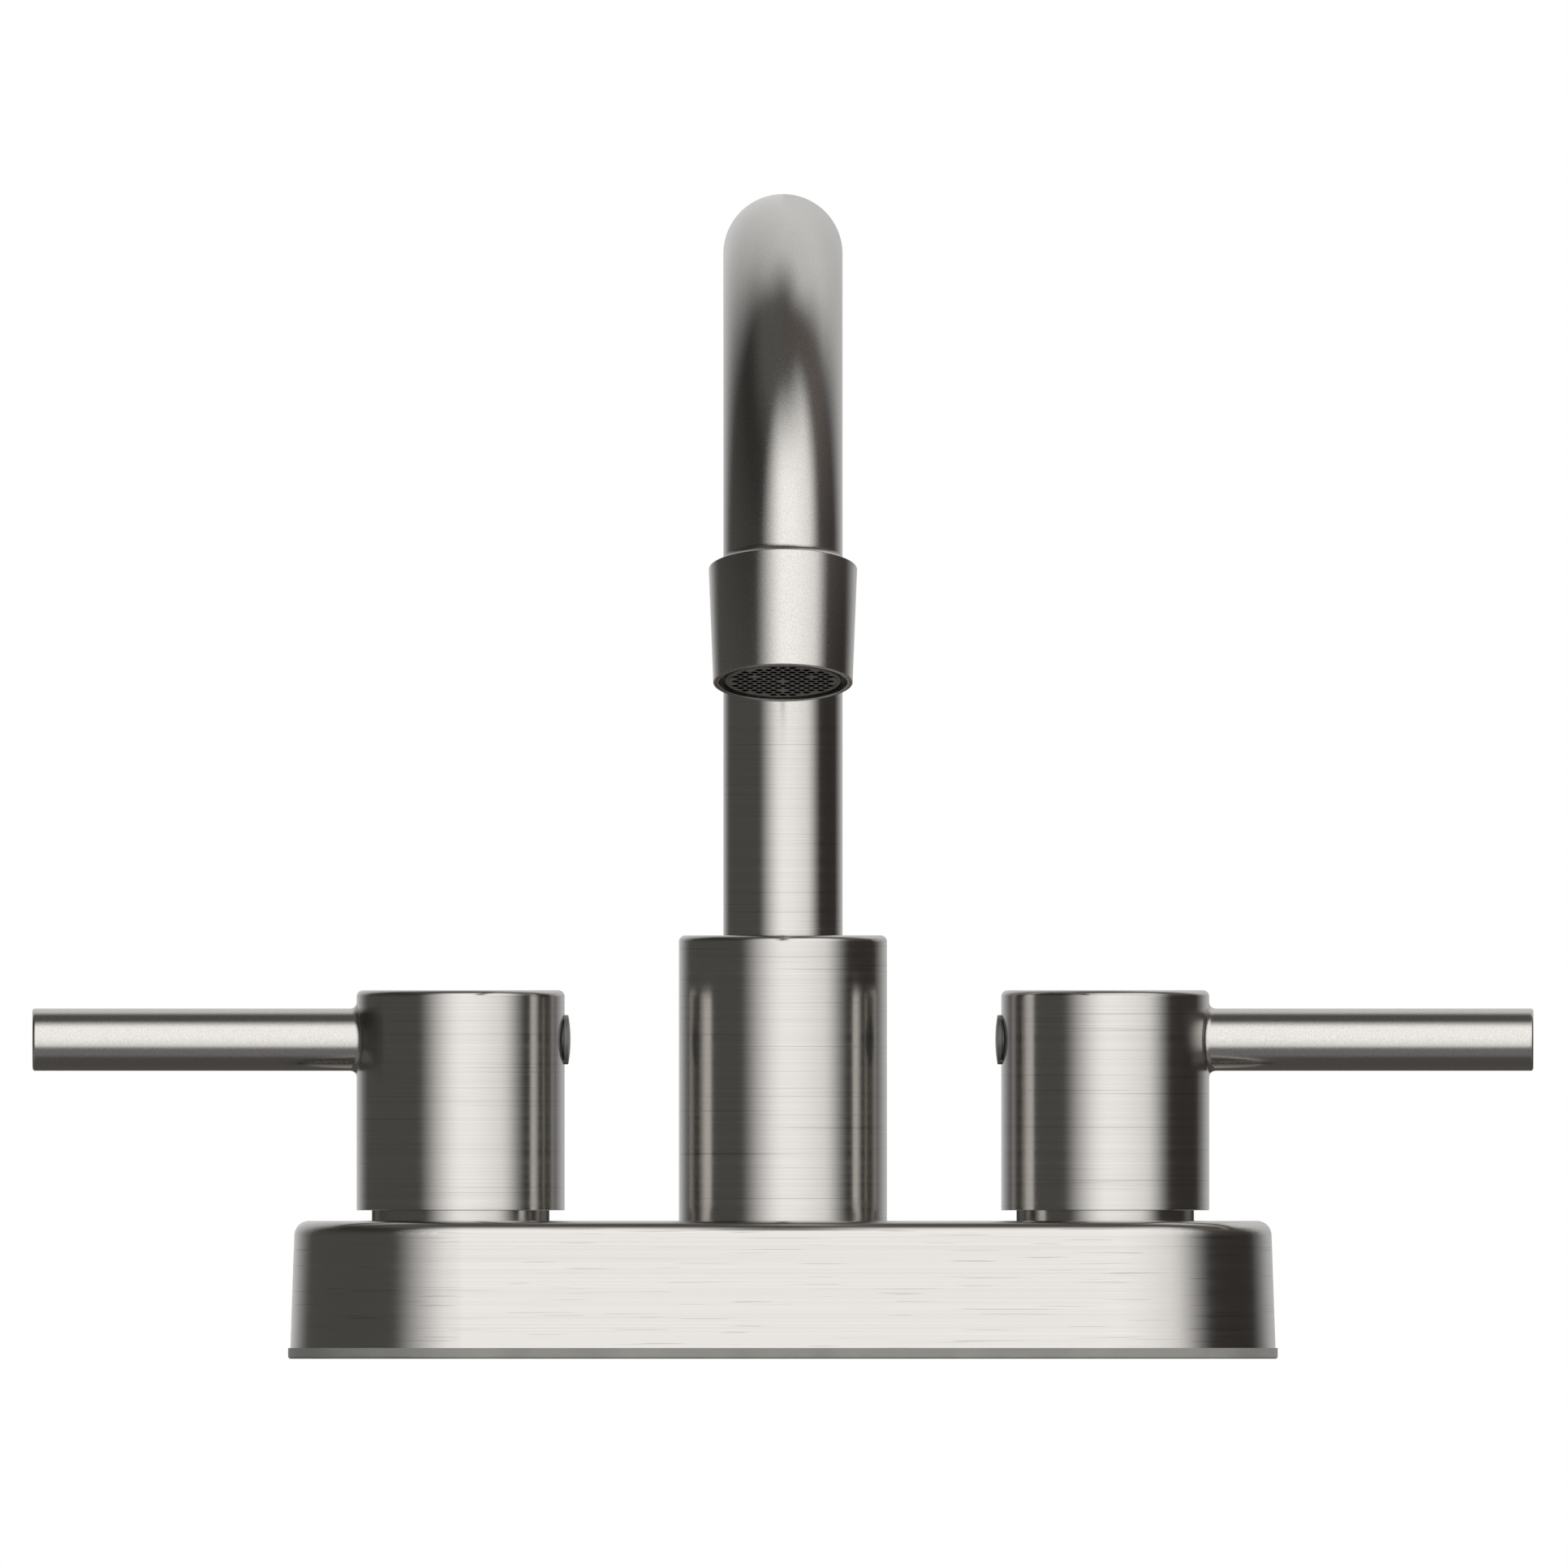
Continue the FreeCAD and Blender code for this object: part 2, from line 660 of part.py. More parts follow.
def spout_body():
    body = clamped_barrel(tee_bottom, socket_rim, tee_edge_round)
    body = body.fuse([port(V(1, 0, 0)), port(V(-1, 0, 0))]).removeSplitter()
    inside = turned([
        (0, tee_bottom + tee_floor), (tee_bore / 2, tee_bottom + tee_floor),
        (tee_bore / 2, socket_floor), (socket_bore / 2, socket_floor), (socket_bore / 2, socket_rim),
        (0, socket_rim)])
    body = body.cut(inside)
    for way in (V(1, 0, 0), V(-1, 0, 0)):
        body = body.cut(port_bores(way, tee_bore / 2 - 1))
    tapped = sleeve(grub, 0, 0, body_thread + 1)
    return body.cut(laid(tapped, V(0, 1, 0), V(0, 0, limit_height)))


def spout_hub():
    hole = tube + assembly_clearance
    guide = body_thread + running_clearance
    shell = turned([
        (hub_bore, cover_top), (hub, cover_top), (hub, hub_top, hub_edge_round), (hole, hub_top),
        (hole, hub_ceiling), (guide, hub_ceiling), (guide, hub_ceiling - hub_collar_depth),
        (hub_bore, hub_ceiling - hub_collar_depth)])
    key_hole = sleeve(grub + running_clearance, 0, body_thread, hub + 1)
    return shell.cut(laid(key_hole, V(0, 1, 0), V(0, 0, limit_height)))


def retaining_screw():
    start = foot - limit_groove_depth + free_clearance
    length = hub - retainer_recess - start
    point = foot + free_clearance - start
    screw = grub_screw(length, dog_diameter / 2, point)
    return laid(screw, V(0, 1, 0), V(0, start, limit_height))


def spout_foot():
    bore = foot_bore / 2
    spigot = tube_inner - running_clearance
    spigot_top = tube_bottom + foot_spigot_length
    plug = turned([
        (bore, foot_bottom), (foot - foot_chamfer, foot_bottom), (foot, foot_bottom + foot_chamfer),
        (foot, foot_flange_bottom), (tube, foot_flange_bottom), (tube, tube_bottom),
        (spigot, tube_bottom), (spigot, spigot_top), (bore, spigot_top)])
    for height in (lower_seal, upper_seal):
        plug = plug.cut(seal_groove(foot - ring_groove_depth, foot + 1, height))
    # The groove lets the screw's dog point run the whole swivel, plus the slack at each end.
    floor = foot - limit_groove_depth
    dog_angle = math.degrees(math.asin(dog_diameter / 2 / (floor + free_clearance)))
    half_turn = swivel_range + dog_angle + stop_slack
    low = limit_height - limit_groove_width / 2
    high = limit_height + limit_groove_width / 2
    groove = turned([(floor, low), (foot + 1, low), (foot + 1, high), (floor, high)],
                    2 * half_turn, 90 - half_turn)
    return plug.cut(groove)


def spout_glide_washer():
    return sleeve(tube, foot + running_clearance, socket_rim + glide_film, foot_flange_bottom)


def bent_rod(radius):
    """Solid rod along the spout's line: riser, bend and stub."""
    riser = Part.makeCylinder(radius, bend_height - tube_bottom, V(0, 0, tube_bottom))
    section = Part.Face(Part.Wire(Part.makeCircle(radius, V(0, 0, bend_height), V(0, 0, 1))))
    bend = outward(section.revolve(V(0, -bend_radius, bend_height), V(1, 0, 0), bend_angle))
    stub = Part.makeCylinder(radius, stub_length + collar_insertion, bend_end, outlet_way)
    return riser.fuse([bend, stub]).removeSplitter()


def spout_tube():
    return bent_rod(tube).cut(bent_rod(tube_inner))


def at_outlet(solid):
    """A piece built about Z with the outlet's face at 0 and the spout above it, put in place."""
    return laid(solid, outlet_way * -1, outlet)


def outlet_collar():
    thread = aerator + running_clearance
    socket = tube + running_clearance
    return turned([
        (mouth_recess, 0), (collar_mouth, 0, collar_edge_round),
        (collar_top, collar_length, collar_top_round),
        (socket + collar_cove_lip, collar_length, collar_cove),
        (socket + collar_cove_lip, collar_length + collar_cove), (socket, collar_length + collar_cove),
        (socket, tube_seat), (tube_inner, tube_seat), (tube_inner, seal_face), (thread, seal_face),
        (thread, mouth_recess_depth), (mouth_recess, mouth_recess_depth)])


def aerator_shell():
    opening = aerator - aerator_lip
    return turned([(opening, aerator_setback), (aerator, aerator_setback, aerator_edge_round),
                   (aerator, aerator_top), (cage, aerator_top), (cage, lip_top), (opening, lip_top)])


def lattice_pads():
    """Centres of the filled spots: the middle and three round it."""
    pads = [(0.0, 0.0)]
    for turn in (30, 150, 270):
        angle = math.radians(turn)
        pads.append((lattice_pad_radius * math.cos(angle), lattice_pad_radius * math.sin(angle)))
    return pads


def aerator_lattice():
    """Disc with a honeycomb of through cells, left solid at the pads and under the shell's lip."""
    disc = sleeve(cage - running_clearance, 0, lip_top, lattice_top)
    corner = (lattice_pitch - lattice_web) / math.sqrt(3)
    turns = [math.radians(30 + 60 * i) for i in range(6)]
    opening = aerator - aerator_lip
    row_step = lattice_pitch * math.sqrt(3) / 2
    reach = int(opening / row_step) + 1
    pads = lattice_pads()
    cells = []
    for row in range(-reach, reach + 1):
        for column in range(-reach, reach + 1):
            x = lattice_pitch * (column + (row % 2) / 2)
            y = row_step * row
            open_here = math.hypot(x, y) + corner < opening
            filled = any(math.hypot(x - a, y - b) < 0.55 * lattice_pitch for a, b in pads)
            if open_here and not filled:
                outline = [(x + corner * math.cos(a), y + corner * math.sin(a)) for a in turns]
                cells.append(prism(outline, lip_top, lattice_top))
    return disc.cut(Part.makeCompound(cells))


def aerator_regulator():
    radius = cage - running_clearance
    inner = radius - regulator_skirt
    circle = regulator_hole_circle / 2
    relief = lattice_top + regulator_relief
    disc = turned([
        (0, relief), (inner, relief), (inner, lattice_top), (radius, lattice_top),
        (radius, regulator_top), (circle + regulator_groove, regulator_top),
        (circle - regulator_groove, regulator_top - regulator_dish),
        (0, regulator_top - regulator_dish)])
    holes = []
    for i in range(regulator_holes):
        angle = 2 * math.pi * i / regulator_holes
        centre = V(circle * math.cos(angle), circle * math.sin(angle), lattice_top)
        holes.append(Part.makeCylinder(regulator_hole_diameter / 2, regulator_thickness, centre))
    return disc.cut(Part.makeCompound(holes))


def aerator_screen():
    radius = cage - running_clearance
    inner = radius - screen_flange
    crown = screen_crown_diameter / 2
    slope = (inner - crown) / (screen_height - screen_wall)
    foot_top = regulator_top + screen_wall
    screen = turned([
        (inner, regulator_top), (radius, regulator_top), (radius, foot_top),
        (inner + slope * 0.5 * screen_wall, foot_top), (crown + slope * 0.5 * screen_wall, screen_top),
        (0, screen_top), (0, screen_top - screen_wall), (crown, screen_top - screen_wall)])
    slots = []
    for i in range(screen_slots):
        slot = block((inner + crown) / 2, 0, inner - crown - 2 * screen_wall, screen_slot_width,
                     foot_top, screen_top + 1)
        slot.rotate(V(0, 0, 0), V(0, 0, 1), 360.0 * i / screen_slots)
        slots.append(slot)
    return screen.cut(Part.makeCompound(slots))


def aerator_seal():
    outer = aerator
    inner = outer - aerator_seal_width
    return turned([(inner, aerator_top, aerator_seal_round), (outer, aerator_top),
                   (outer, seal_face), (inner, seal_face, aerator_seal_round)])


def save(name, shape):
    """Writes one node's STEP file, after checking that it is one sound solid."""
    solids = shape.Solids
    if len(solids) != 1 or not solids[0].isValid() or solids[0].Volume <= 0:
        raise RuntimeError("%s: %d solids, valid %s" % (name, len(solids), shape.isValid()))
    solids[0].exportStep("parts/%s.step" % name)


def save_pair(name, hot):
    """Writes a piece built about Z at the hot valve's axis, and its mirror image on the cold side."""
    placed = hot.copy()
    placed.translate(V(valve_x, 0, 0))
    save("hot_" + name, placed)
    save("cold_" + name, placed.mirror(V(0, 0, 0), V(1, 0, 0)))


def main():
    os.makedirs("parts", exist_ok=True)
    save("base_gasket", base_gasket())
    save("base_cover", base_cover())
    save_pair("valve_body", valve_body())
    save_pair("trim_ring", slotted_ring(trim, cover_top, cover_top + trim_height))
    save_pair("seat_seal", seat_seal())
    save_pair("fixed_disc", fixed_disc())
    save_pair("moving_disc", moving_disc())
    save_pair("cartridge_housing", cartridge_housing())
    save_pair("housing_oring", ring_seal(body_bore / 2 - ring_groove_depth, housing_seal_height))
    save_pair("valve_stem", valve_stem())
    save_pair("stem_oring", ring_seal(stem - ring_groove_depth, stem_seal_height))
    save_pair("stem_glide_ring", stem_glide_ring())
    save_pair("stop_washer", stop_washer())
    save_pair("stem_clip", stem_clip())
    save_pair("handle", handle())
    save_pair("handle_plug", handle_plug())
    save_pair("handle_set_screw", handle_set_screw())
    hot_tube = crossover_tube()
    save("hot_crossover_tube", hot_tube)
    save("cold_crossover_tube", hot_tube.mirror(V(0, 0, 0), V(1, 0, 0)))
    save("spout_body", spout_body())
    save("spout_body_nut", slotted_ring(nut, cover_top, cover_top + nut_height))
    save("spout_hub", spout_hub())
    save("spout_retaining_screw", retaining_screw())
    save("spout_foot", spout_foot())
    save("foot_oring_lower", ring_seal(foot - ring_groove_depth, lower_seal))
    save("foot_oring_upper", ring_seal(foot - ring_groove_depth, upper_seal))
    save("spout_glide_washer", spout_glide_washer())
    save("spout_tube", spout_tube())
    save("outlet_collar", at_outlet(outlet_collar()))
    save("aerator_shell", at_outlet(aerator_shell()))
    save("aerator_lattice", at_outlet(aerator_lattice()))
    save("aerator_regulator", at_outlet(aerator_regulator()))
    save("aerator_screen", at_outlet(aerator_screen()))
    save("aerator_seal", at_outlet(aerator_seal()))


main()
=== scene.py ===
import json
import math

import bmesh
import bpy
from bpy.props import FloatProperty, FloatVectorProperty, PointerProperty
from mathutils import Matrix, Vector


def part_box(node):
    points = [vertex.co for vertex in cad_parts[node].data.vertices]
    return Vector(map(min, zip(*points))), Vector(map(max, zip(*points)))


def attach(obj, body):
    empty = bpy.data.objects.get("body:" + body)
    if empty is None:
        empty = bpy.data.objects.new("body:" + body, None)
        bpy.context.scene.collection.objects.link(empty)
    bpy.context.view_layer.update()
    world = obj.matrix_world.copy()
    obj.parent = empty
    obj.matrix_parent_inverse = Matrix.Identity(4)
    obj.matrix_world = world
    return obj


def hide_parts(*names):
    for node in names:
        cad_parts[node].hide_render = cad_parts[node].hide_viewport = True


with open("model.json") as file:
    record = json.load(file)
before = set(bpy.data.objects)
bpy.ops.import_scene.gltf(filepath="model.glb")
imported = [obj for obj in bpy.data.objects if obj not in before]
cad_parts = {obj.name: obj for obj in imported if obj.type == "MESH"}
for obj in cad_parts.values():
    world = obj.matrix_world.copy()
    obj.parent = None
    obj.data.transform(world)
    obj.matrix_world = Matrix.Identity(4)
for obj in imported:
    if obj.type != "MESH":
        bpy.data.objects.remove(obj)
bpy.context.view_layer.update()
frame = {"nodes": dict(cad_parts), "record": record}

# A centerset bathroom faucet in brushed nickel, seen straight on in a white studio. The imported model
# gives the pieces their places. The spout's tube, its collar and aerator and the handles' buttons are
# modelled here; the other pieces keep their solids and get their finish here. Lengths are in metres.

bl_info = {
    "name": "Centerset Faucet",
    "version": (1, 0, 0),
    "blender": (4, 5, 0),
    "location": "3D View > Sidebar > Faucet",
    "description": "Builds the spout, outlet, finishes and studio of a brushed nickel centerset faucet",
    "category": "Add Mesh",
}

MM = 0.001

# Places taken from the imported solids
TUBE_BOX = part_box("spout_tube")
HANDLE_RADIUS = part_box("cold_handle")[1].y
LEVER_HEIGHT = sum(corner.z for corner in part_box("cold_handle_plug")) / 2
VALVE_X = sum(corner.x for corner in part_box("cold_trim_ring")) / 2

# Sizes that two pieces share
TUBE_INSERTION = 6.6 * MM       # how far the tube goes into the collar
FIT = 0.05 * MM                 # gap between a piece and what it fits in


def linear(hex_colour):
    """An sRGB hex colour as the linear RGBA that shaders take."""
    levels = [int(hex_colour[i:i + 2], 16) / 255 for i in (0, 2, 4)]
    return (*(v / 12.92 if v <= 0.04045 else ((v + 0.055) / 1.055) ** 2.4 for v in levels), 1.0)


class FaucetSizes(bpy.types.PropertyGroup):
    tube_diameter: FloatProperty(name="Tube diameter", description="Outside of the spout's tube",
                                 default=TUBE_BOX[1].x - TUBE_BOX[0].x, unit="LENGTH")
    tube_wall: FloatProperty(name="Tube wall", description="Thickness of the spout's tube", default=1.0 * MM,
                             unit="LENGTH")
    bend_radius: FloatProperty(name="Bend radius", default=63.5 * MM, unit="LENGTH",
                               description="Radius of the spout's bend, to the tube's middle")
    outlet_tilt: FloatProperty(name="Outlet tilt", description="Lean of the outlet towards the user",
                               default=math.radians(15.8), subtype="ANGLE")
    stub: FloatProperty(name="Stub", description="Straight tube between the bend and the collar",
                        default=3.6 * MM, unit="LENGTH")
    collar_length: FloatProperty(name="Collar length", description="Height of the outlet's collar",
                                 default=18.65 * MM, unit="LENGTH")
    collar_top: FloatProperty(name="Collar top", description="Diameter of the collar where it meets the tube",
                              default=23.4 * MM, unit="LENGTH")
    collar_mouth: FloatProperty(name="Collar mouth", description="Diameter of the collar at its mouth",
                                default=21.99 * MM, unit="LENGTH")
    aerator_diameter: FloatProperty(name="Aerator diameter", description="Outside of the aerator's shell",
                                    default=18.3 * MM, unit="LENGTH")
    cell_pitch: FloatProperty(name="Cell pitch", default=1.49 * MM, unit="LENGTH",
                              description="Distance between the middles of the aerator's cells")
    cell_web: FloatProperty(name="Cell web", description="Width of the web between the aerator's cells",
                            default=0.34 * MM, unit="LENGTH")
    button_diameter: FloatProperty(name="Button diameter", default=7.8 * MM, unit="LENGTH",
                                   description="Diameter of the button that hides the handle's grub screw")


class FaucetFinishes(bpy.types.PropertyGroup):
    nickel: FloatVectorProperty(name="Nickel", description="Colour of the brushed nickel",
                                default=linear("BCB9B5")[:3], size=3, subtype="COLOR", min=0, max=1)
    nickel_roughness: FloatProperty(name="Nickel roughness", description="Blur of the nickel's reflections",
                                    default=0.17, min=0, max=1, subtype="FACTOR")
    brush_pitch: FloatProperty(name="Brush pitch", description="Width of the brushed lines",
                               default=0.26 * MM, unit="LENGTH")
    brush_contrast: FloatProperty(name="Brush contrast", default=0.34, min=0, max=1, subtype="FACTOR",
                                  description="How far the brushed lines change the tone")
    grain_size: FloatProperty(name="Grain size", default=0.2 * MM, unit="LENGTH",
                              description="Size of the blasted grain on the bend and collar")


class FaucetStudio(bpy.types.PropertyGroup):
    window: FloatProperty(name="Window", description="Strength of the soft window in front of the faucet",
                          default=1.69, min=0)
    backdrop: FloatProperty(name="Backdrop", description="Strength of the white backdrop as metal shows it",
                            default=0.92, min=0)
    floor_size: FloatProperty(name="Floor size", description="Width and depth of the floor", default=4.0,
                              unit="LENGTH")
    frame_width: FloatProperty(name="Frame width", description="Width of what the camera sees",
                               default=247.15 * MM, unit="LENGTH")


def node(tree, kind, inputs=None, **settings):
    """Adds a shader node. An input is filled with a value, a socket, or the first output of a node."""
    made = tree.nodes.new("ShaderNode" + kind)
    for key, value in settings.items():
        setattr(made, key, value)
    for key, value in (inputs or {}).items():
        if isinstance(value, bpy.types.Node):
            value = value.outputs[0]
        if isinstance(value, bpy.types.NodeSocket):
            tree.links.new(value, made.inputs[key])
        else:
            made.inputs[key].default_value = value
    return made


def new_material(name):
    material = bpy.data.materials.new(name)
    material.use_nodes = True
    material.node_tree.nodes.clear()
    return material, material.node_tree


def brushed_nickel(name, middle=0.0, straight=False, mark_length=40 * MM, smooth_side=None, painted_bore_shade=None,
                   rim=1.0):
    """Nickel plate brushed with a fine belt, in lines that run round the piece.

    middle is the distance of the piece's axis from the faucet's, and straight keeps the lines parallel
    between two such axes. mark_length is the length of the belt's deeper scratches. smooth_side is where
    lines give way to a fine blasted grain: an axis and the two places in metres between which they fade.
    painted_bore_shade is the height and radius of a cross bore whose shade is painted nearly black into the
    plate's colour, and rim is how much of a glancing reflection the plate keeps, less than 1 where it is
    dull.
    """
    looks = bpy.context.scene.faucet_finishes
    band_width = 1.3 * MM
    mark_width = 0.24 * MM
    brush_depth = 0.006 * MM
    material, tree = new_material(name)
    place = node(tree, "TexCoord").outputs["Object"]
    xyz = node(tree, "SeparateXYZ", {0: place}).outputs

    # Distance out from the piece's axis, plus height, counts the lines both up a wall and across a top.
    along = node(tree, "Math", {0: node(tree, "Math", {0: xyz[0]}, operation="ABSOLUTE"), 1: middle},
                 operation="SUBTRACT")
    if straight:
        along = node(tree, "Math", {0: along, 1: 0.0}, operation="MAXIMUM")
    out = node(tree, "VectorMath", {0: node(tree, "CombineXYZ", {0: along, 1: xyz[1]})}, operation="LENGTH")
    across = node(tree, "Math", {0: out.outputs["Value"], 1: xyz[2]}, operation="ADD")
    lines_at = node(tree, "CombineXYZ", {0: xyz[0], 1: xyz[1], 2: across})

    # A belt leaves lines far longer than they are wide; real ones are about 0.05 mm, drawn here about
    # five times wider so that they show. They lighten and darken the plate by a few percent.
    stretch = (2, 2, 1 / looks.brush_pitch)
    fine = node(tree, "TexNoise", {
        "Vector": node(tree, "VectorMath", {0: lines_at, 1: stretch}, operation="MULTIPLY"),
        "Scale": 1.0, "Detail": 2.0, "Roughness": 0.75})
    stretch = (1.5, 1.5, 1 / band_width)
    bands = node(tree, "TexNoise", {
        "Vector": node(tree, "VectorMath", {0: lines_at, 1: stretch}, operation="MULTIPLY"),
        "Scale": 1.0, "Detail": 1.0})
    stretch = (1 / mark_length, 1 / mark_length, 1 / mark_width)
    marks = node(tree, "TexNoise", {
        "Vector": node(tree, "VectorMath", {0: lines_at, 1: stretch}, operation="MULTIPLY"),
        "Scale": 1.0, "Detail": 0.0})
    deep = node(tree, "MapRange", {"Value": marks, "From Min": 0.71, "From Max": 0.77})
    lined = node(tree, "Math", {0: bands, 1: 0.5, 2: fine}, operation="MULTIPLY_ADD")
    contrast = looks.brush_contrast
    if straight:
        # The belt lifts off round the ends, where its lines are fainter.
        contrast = node(tree, "MapRange", {"Value": along, "From Min": 2 * MM, "From Max": 12 * MM,
                                           "To Min": contrast, "To Max": contrast / 3})
    lined = node(tree, "Math", {0: node(tree, "Math", {0: lined, 1: 0.75}, operation="SUBTRACT"),
                                1: contrast, 2: 1.0}, operation="MULTIPLY_ADD")
    lined = node(tree, "Math", {0: deep, 1: -0.2, 2: lined}, operation="MULTIPLY_ADD")

    # Fine blasting leaves an even, sparkling grain; real grit is finer than the picture can show.
    grit = node(tree, "TexNoise", {"Vector": place, "Scale": 1 / looks.grain_size, "Detail": 1.0})
    grained = node(tree, "Math", {0: node(tree, "Math", {0: grit, 1: 0.5}, operation="SUBTRACT"),
                                  1: 0.5, 2: 1.0}, operation="MULTIPLY_ADD")
    share = 0.0
    if smooth_side:
        axis, start, end = smooth_side
        way = xyz[axis]
        if axis == "X":
            # The two handles share a material, so X counts out from the faucet's middle.
            way = node(tree, "Math", {0: way}, operation="ABSOLUTE")
        share = node(tree, "MapRange", {"Value": way, "From Min": start, "From Max": end})
    tone = node(tree, "Mix", {0: share, 2: lined, 3: grained}, data_type="FLOAT")
    # Painted shade: round the button's cross bore, on the side towards the faucet's middle, the colour is
    # darkened nearly to black in place of the bore's shadow.
    if painted_bore_shade:
        height, radius = painted_bore_shade
        down = node(tree, "Math", {0: xyz[2], 1: height}, operation="SUBTRACT")
        off_axis = node(tree, "CombineXYZ", {0: xyz[1], 1: down})
        reach = node(tree, "VectorMath", {0: off_axis}, operation="LENGTH")
        inside = node(tree, "Math", {0: reach.outputs["Value"], 1: radius}, operation="LESS_THAN")
        inward = node(tree, "Math", {0: node(tree, "Math", {0: xyz[0]}, operation="ABSOLUTE"), 1: middle},
                      operation="LESS_THAN")
        bore = node(tree, "Math", {0: inside, 1: inward}, operation="MULTIPLY")
        bore_unshaded = node(tree, "Math", {0: bore, 1: -0.93, 2: 1.0}, operation="MULTIPLY_ADD")
        tone = node(tree, "Math", {0: bore_unshaded, 1: tone}, operation="MULTIPLY")
    colour = node(tree, "VectorMath", {0: tuple(looks.nickel), "Scale": tone}, operation="SCALE")

    rough = looks.nickel_roughness
    uneven = node(tree, "Mix", {0: share, 2: bands, 3: grit}, data_type="FLOAT")
    blur = node(tree, "MapRange", {"Value": uneven, "From Min": 0.3, "From Max": 0.7,
                                   "To Min": rough - 0.025, "To Max": rough + 0.025})
    relief = node(tree, "Mix", {0: share, 2: fine, 3: grit}, data_type="FLOAT")
    bump = node(tree, "Bump", {"Height": relief, "Strength": 0.2, "Distance": brush_depth})
    metal = node(tree, "BsdfPrincipled", {"Base Color": colour, "Metallic": 1.0, "Roughness": blur,
                                          "Normal": bump, "Specular Tint": (rim, rim, rim, 1)})
    node(tree, "OutputMaterial", {"Surface": metal})
    return material


def moulded(name, hex_colour, roughness, tone=0.12, painted_cell_shade=None):
    """Moulded rubber or plastic: an even colour with the faint cloudiness and grain of its mould.

    tone is how far the clouds change the colour. painted_cell_shade is a point and a direction: behind the
    point that way, the colour and shine are darkened nearly to black, painted shade.
    """
    grain = 0.35 * MM
    grain_depth = 0.02 * MM
    cloud_size = 9 * MM
    material, tree = new_material(name)
    place = node(tree, "TexCoord").outputs["Object"]
    grit = node(tree, "TexNoise", {"Vector": place, "Scale": 1 / grain, "Detail": 2.0})
    cloud = node(tree, "TexNoise", {"Vector": place, "Scale": 1 / cloud_size, "Detail": 2.0})
    shade = node(tree, "MapRange", {"Value": cloud, "From Min": 0.3, "From Max": 0.7, "To Min": 1 - tone,
                                    "To Max": 1 + tone})
    shine = 0.5
    if painted_cell_shade:
        # Painted shade: behind the point, colour and shine fall nearly to black in place of the dark inside
        # deep cells.
        point, way = painted_cell_shade
        away = node(tree, "VectorMath", {0: place, 1: point}, operation="SUBTRACT")
        behind = node(tree, "VectorMath", {0: away, 1: way}, operation="DOT_PRODUCT").outputs["Value"]
        cell_unshaded = node(tree, "MapRange", {"Value": behind, "From Min": 0.01 * MM, "From Max": 0.05 * MM,
                                        "To Min": 1.0, "To Max": 0.02})
        shade = node(tree, "Math", {0: shade, 1: cell_unshaded}, operation="MULTIPLY")
        shine = node(tree, "Math", {0: cell_unshaded, 1: 0.5}, operation="MULTIPLY")
    colour = node(tree, "VectorMath", {0: linear(hex_colour)[:3], "Scale": shade}, operation="SCALE")
    blur = node(tree, "MapRange", {"Value": grit, "From Min": 0.3, "From Max": 0.7,
                                   "To Min": roughness - 0.05, "To Max": roughness + 0.05})
    bump = node(tree, "Bump", {"Height": grit, "Strength": 0.3, "Distance": grain_depth})
    skin = node(tree, "BsdfPrincipled", {"Base Color": colour, "Roughness": blur, "Specular IOR Level": shine,
                                         "Normal": bump})
    node(tree, "OutputMaterial", {"Surface": skin})
    return material


def machined(name, hex_colour, roughness, tarnish=0.1, metallic=1.0):
    """Bare metal or lapped ceramic off the lathe: fine tool rings and a cloudy film that tarnish darkens."""
    ring_pitch = 0.3 * MM
    ring_depth = 0.01 * MM
    film_size = 6 * MM
    material, tree = new_material(name)
    place = node(tree, "TexCoord").outputs["Object"]
    stretched = node(tree, "VectorMath", {0: place, 1: (60, 60, 1 / ring_pitch)}, operation="MULTIPLY")
    rings = node(tree, "TexNoise", {"Vector": stretched, "Scale": 1.0, "Detail": 2.0})
    film = node(tree, "TexNoise", {"Vector": place, "Scale": 1 / film_size, "Detail": 3.0})
    shade = node(tree, "MapRange", {"Value": film, "From Min": 0.3, "From Max": 0.7, "To Min": 1 - tarnish,
                                    "To Max": 1.0})
    colour = node(tree, "VectorMath", {0: linear(hex_colour)[:3], "Scale": shade}, operation="SCALE")
    blur = node(tree, "MapRange", {"Value": rings, "From Min": 0.3, "From Max": 0.7,
                                   "To Min": roughness - 0.06, "To Max": roughness + 0.06})
    bump = node(tree, "Bump", {"Height": rings, "Strength": 0.3, "Distance": ring_depth})
    skin = node(tree, "BsdfPrincipled", {"Base Color": colour, "Metallic": metallic, "Roughness": blur,
                                         "Normal": bump})
    node(tree, "OutputMaterial", {"Surface": skin})
    return material


